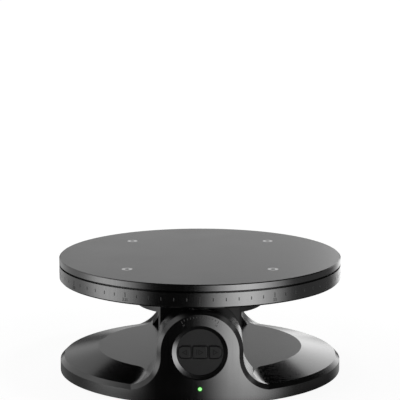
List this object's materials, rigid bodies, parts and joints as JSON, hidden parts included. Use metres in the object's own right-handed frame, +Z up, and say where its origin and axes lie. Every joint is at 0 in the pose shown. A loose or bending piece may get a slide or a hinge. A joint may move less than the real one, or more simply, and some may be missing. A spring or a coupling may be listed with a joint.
{
  "type": "motorised tilting turntable",
  "caption": "Round motorised photo turntable: flat disc with a numbered dial rim on a tilting head between two arched towers of a round base, with a keypad on the front tower.",
  "frame": {"origin": "centre of the circle the object stands on, on the floor under the four feet", "axes": "+Z up along the platter's axis at rest, keypad facing -Y, tilt axis along Y"},
  "size_m": [0.2, 0.2, 0.084],
  "materials": {
    "black_aluminium": "black anodised, satin",
    "disc_aluminium": "black, fine matte",
    "head_plastic": "black, matte moulded",
    "key_plastic": "charcoal, matte",
    "black_plastic": "black moulded",
    "black_steel": "black oxide",
    "bright_steel": "bright machined",
    "bearing_steel": "polished",
    "motor_steel": "zinc plated",
    "plain_aluminium": "milled",
    "brass": "machined",
    "gear_nylon": "natural nylon",
    "circuit_board": "green lacquer",
    "wire_sheath": "matte",
    "foot_rubber": "matte",
    "green_lens": "clear green"
  },
  "bodies": {
    "base": {"base_shell": "black_aluminium", "base_plate": "black_steel", "base_plate_screws": "black_steel", "foot_front_left": "foot_rubber", "foot_front_right": "foot_rubber", "foot_rear_left": "foot_rubber", "foot_rear_right": "foot_rubber", "keypad_fascia": "key_plastic", "keypad_board": "circuit_board", "board_screws": "bright_steel", "status_lens": "green_lens", "dc_jack": "black_plastic", "main_board": "circuit_board", "base_wiring": "wire_sheath", "tilt_motor": "motor_steel", "tilt_motor_bracket": "plain_aluminium", "bracket_screws": "bright_steel", "front_bearing_outer": "bearing_steel", "front_bearing_balls": "bearing_steel", "rear_bearing_outer": "bearing_steel", "rear_bearing_balls": "bearing_steel"},
    "tilt_head": {"head_casing": "head_plastic", "head_cover": "head_plastic", "head_cover_screws": "black_steel", "gear_deck": "plain_aluminium", "deck_screws": "bright_steel", "spin_motor": "motor_steel", "driver_board": "circuit_board", "front_trunnion": "bright_steel", "rear_trunnion": "bright_steel", "trunnion_screws": "bright_steel", "front_bearing_inner": "bearing_steel", "rear_bearing_inner": "bearing_steel", "front_circlip": "bright_steel", "rear_circlip": "bright_steel", "tilt_gear": "gear_nylon", "tilt_gear_nut": "bright_steel", "upper_bearing_outer": "bearing_steel", "upper_bearing_balls": "bearing_steel", "lower_bearing_outer": "bearing_steel", "lower_bearing_balls": "bearing_steel"},
    "platter": {"top_disc": "disc_aluminium", "disc_screws": "bright_steel", "dial_ring": "black_aluminium", "spindle": "bright_steel", "hub_screws": "bright_steel", "spin_gear": "gear_nylon", "upper_bearing_inner": "bearing_steel", "lower_bearing_inner": "bearing_steel", "bearing_spacer": "bright_steel", "spindle_circlip": "bright_steel"},
    "spin_drive": {"spin_pinion": "brass", "spin_motor_shaft": "bright_steel"},
    "tilt_drive": {"tilt_pinion": "brass", "tilt_motor_shaft": "bright_steel"},
    "left_key": {"button_left": "key_plastic"},
    "play_key": {"button_play": "key_plastic"},
    "right_key": {"button_right": "key_plastic"}
  },
  "joints": [
    {"name": "tilt", "type": "hinge", "parent": "base", "child": "tilt_head", "pos_m": [0, 0, 0.0376], "axis": [0, 1, 0], "range_deg": [-30, 30]},
    {"name": "spin", "type": "hinge", "parent": "tilt_head", "child": "platter", "pos_m": [0, 0, 0.0755], "axis": [0, 0, 1], "continuous": true},
    {"name": "spin_pinion_turn", "type": "hinge", "parent": "tilt_head", "child": "spin_drive", "pos_m": [0, 0.032, 0.061], "axis": [0, 0, 1], "continuous": true},
    {"name": "tilt_pinion_turn", "type": "hinge", "parent": "base", "child": "tilt_drive", "pos_m": [0.01471, 0.0745, 0.02289], "axis": [0, 1, 0], "range_deg": [-102, 102]},
    {"name": "left_key_press", "type": "slide", "parent": "base", "child": "left_key", "axis": [0, 1, 0], "range_m": [0, 0.00045], "stiffness_N_per_m": 600},
    {"name": "play_key_press", "type": "slide", "parent": "base", "child": "play_key", "axis": [0, 1, 0], "range_m": [0, 0.00045], "stiffness_N_per_m": 600},
    {"name": "right_key_press", "type": "slide", "parent": "base", "child": "right_key", "axis": [0, 1, 0], "range_m": [0, 0.00045], "stiffness_N_per_m": 600}
  ],
  "couplings": [
    {"joint": "spin_pinion_turn", "follows": "spin", "ratio": -3.5714},
    {"joint": "tilt_pinion_turn", "follows": "tilt", "ratio": -3.3333}
  ]
}
